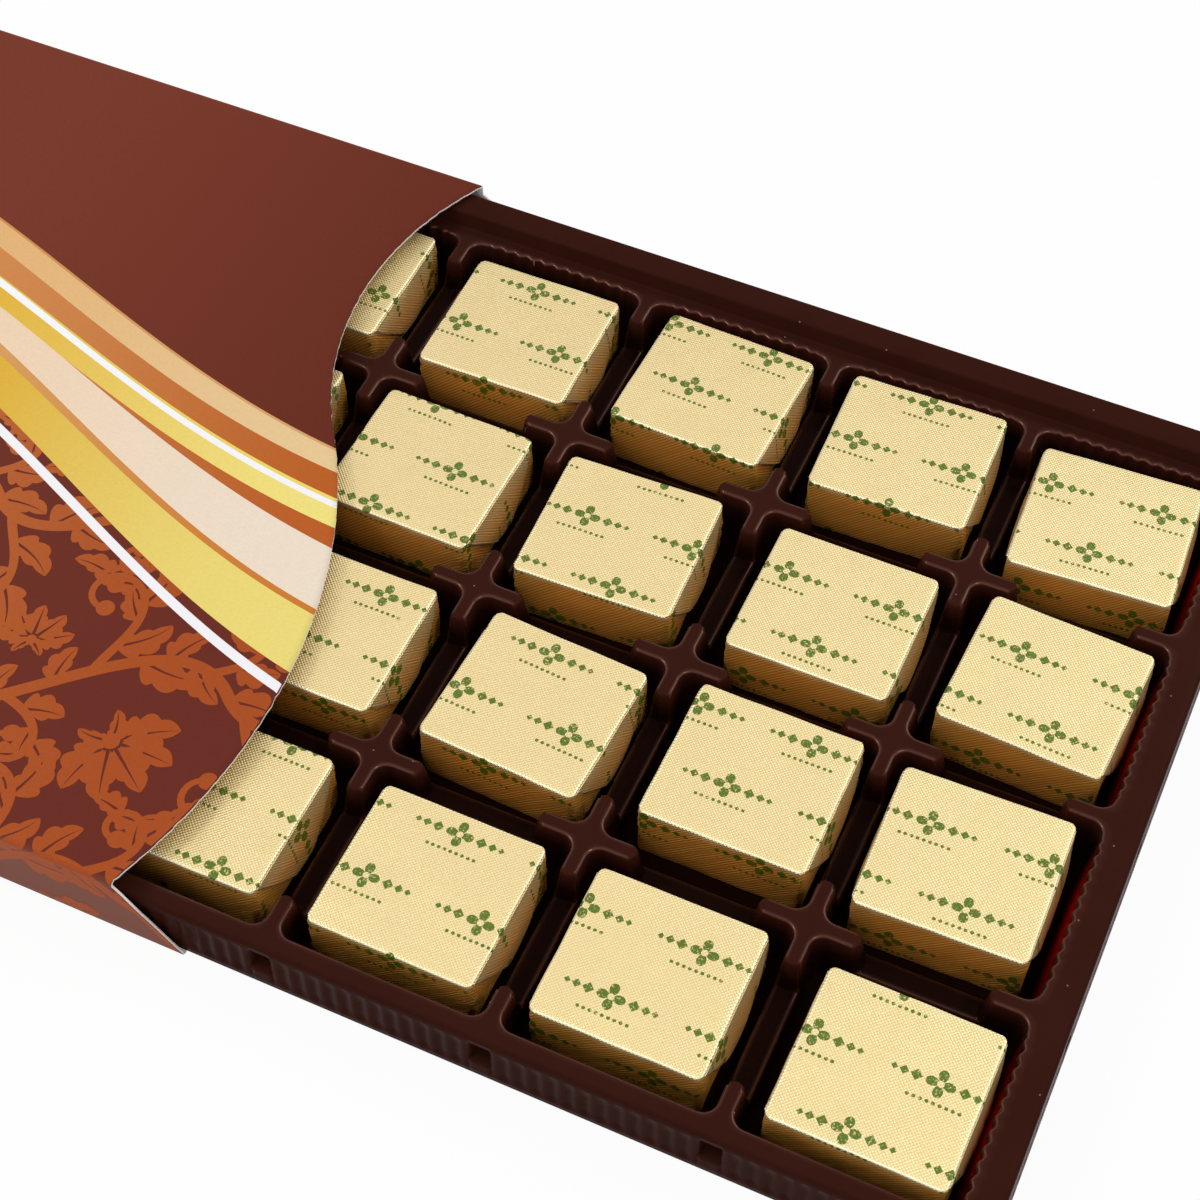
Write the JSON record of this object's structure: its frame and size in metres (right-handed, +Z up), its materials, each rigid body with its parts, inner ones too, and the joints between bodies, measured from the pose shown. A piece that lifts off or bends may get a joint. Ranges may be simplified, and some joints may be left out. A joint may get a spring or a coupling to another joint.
{
  "type": "chocolate box",
  "caption": "Flat chocolate box: a moulded plastic tray of foil-wrapped squares that slides in an open card sleeve with a wave-cut mouth.",
  "frame": {"origin": "middle of the whole box's footprint at rest, on the sleeve's bottom face", "axes": "+X along the box towards the tray end that stands out of the sleeve, +Y towards the tray's raised back lip, +Z up"},
  "size_m": [0.3612, 0.1584, 0.0152],
  "materials": {
    "tray_plastic": "gloss",
    "sleeve_card": "printed, satin",
    "gold_foil": "gold, fine linen emboss",
    "chocolate": "satin"
  },
  "bodies": {
    "tray": {"tray": "tray_plastic", "foil_wrapper_r1_c5": "gold_foil", "chocolate_r1_c5": "chocolate", "foil_wrapper_r1_c6": "gold_foil", "chocolate_r1_c6": "chocolate", "foil_wrapper_r2_c4": "gold_foil", "chocolate_r2_c4": "chocolate", "foil_wrapper_r2_c5": "gold_foil", "chocolate_r2_c5": "chocolate", "foil_wrapper_r2_c6": "gold_foil", "chocolate_r2_c6": "chocolate", "foil_wrapper_r3_c4": "gold_foil", "chocolate_r3_c4": "chocolate", "foil_wrapper_r3_c5": "gold_foil", "chocolate_r3_c5": "chocolate", "foil_wrapper_r3_c6": "gold_foil", "chocolate_r3_c6": "chocolate", "foil_wrapper_r4_c4": "gold_foil", "chocolate_r4_c4": "chocolate", "foil_wrapper_r4_c5": "gold_foil", "chocolate_r4_c5": "chocolate", "foil_wrapper_r4_c6": "gold_foil", "chocolate_r4_c6": "chocolate"},
    "sleeve": {"sleeve": "sleeve_card"},
    "square_r1_c1": {"foil_wrapper_r1_c1": "gold_foil", "chocolate_r1_c1": "chocolate"},
    "square_r1_c2": {"foil_wrapper_r1_c2": "gold_foil", "chocolate_r1_c2": "chocolate"},
    "square_r1_c3": {"foil_wrapper_r1_c3": "gold_foil", "chocolate_r1_c3": "chocolate"},
    "square_r1_c4": {"foil_wrapper_r1_c4": "gold_foil", "chocolate_r1_c4": "chocolate"},
    "square_r2_c1": {"foil_wrapper_r2_c1": "gold_foil", "chocolate_r2_c1": "chocolate"},
    "square_r2_c2": {"foil_wrapper_r2_c2": "gold_foil", "chocolate_r2_c2": "chocolate"},
    "square_r2_c3": {"foil_wrapper_r2_c3": "gold_foil", "chocolate_r2_c3": "chocolate"},
    "square_r3_c1": {"foil_wrapper_r3_c1": "gold_foil", "chocolate_r3_c1": "chocolate"},
    "square_r3_c2": {"foil_wrapper_r3_c2": "gold_foil", "chocolate_r3_c2": "chocolate"},
    "square_r3_c3": {"foil_wrapper_r3_c3": "gold_foil", "chocolate_r3_c3": "chocolate"},
    "square_r4_c1": {"foil_wrapper_r4_c1": "gold_foil", "chocolate_r4_c1": "chocolate"},
    "square_r4_c2": {"foil_wrapper_r4_c2": "gold_foil", "chocolate_r4_c2": "chocolate"},
    "square_r4_c3": {"foil_wrapper_r4_c3": "gold_foil", "chocolate_r4_c3": "chocolate"}
  },
  "joints": [
    {"name": "sleeve_slide", "type": "slide", "parent": "tray", "child": "sleeve", "axis": [-1, 0, 0], "range_m": [-0.1295, 0.105]},
    {"name": "lift_r1_c1", "type": "slide", "parent": "tray", "child": "square_r1_c1", "axis": [0, 0, 1], "range_m": [0, 0.018]},
    {"name": "lift_r1_c2", "type": "slide", "parent": "tray", "child": "square_r1_c2", "axis": [0, 0, 1], "range_m": [0, 0.018]},
    {"name": "lift_r1_c3", "type": "slide", "parent": "tray", "child": "square_r1_c3", "axis": [0, 0, 1], "range_m": [0, 0.018]},
    {"name": "lift_r1_c4", "type": "slide", "parent": "tray", "child": "square_r1_c4", "axis": [0, 0, 1], "range_m": [0, 0.018]},
    {"name": "lift_r2_c1", "type": "slide", "parent": "tray", "child": "square_r2_c1", "axis": [0, 0, 1], "range_m": [0, 0.018]},
    {"name": "lift_r2_c2", "type": "slide", "parent": "tray", "child": "square_r2_c2", "axis": [0, 0, 1], "range_m": [0, 0.018]},
    {"name": "lift_r2_c3", "type": "slide", "parent": "tray", "child": "square_r2_c3", "axis": [0, 0, 1], "range_m": [0, 0.018]},
    {"name": "lift_r3_c1", "type": "slide", "parent": "tray", "child": "square_r3_c1", "axis": [0, 0, 1], "range_m": [0, 0.018]},
    {"name": "lift_r3_c2", "type": "slide", "parent": "tray", "child": "square_r3_c2", "axis": [0, 0, 1], "range_m": [0, 0.018]},
    {"name": "lift_r3_c3", "type": "slide", "parent": "tray", "child": "square_r3_c3", "axis": [0, 0, 1], "range_m": [0, 0.018]},
    {"name": "lift_r4_c1", "type": "slide", "parent": "tray", "child": "square_r4_c1", "axis": [0, 0, 1], "range_m": [0, 0.018]},
    {"name": "lift_r4_c2", "type": "slide", "parent": "tray", "child": "square_r4_c2", "axis": [0, 0, 1], "range_m": [0, 0.018]},
    {"name": "lift_r4_c3", "type": "slide", "parent": "tray", "child": "square_r4_c3", "axis": [0, 0, 1], "range_m": [0, 0.018]}
  ]
}
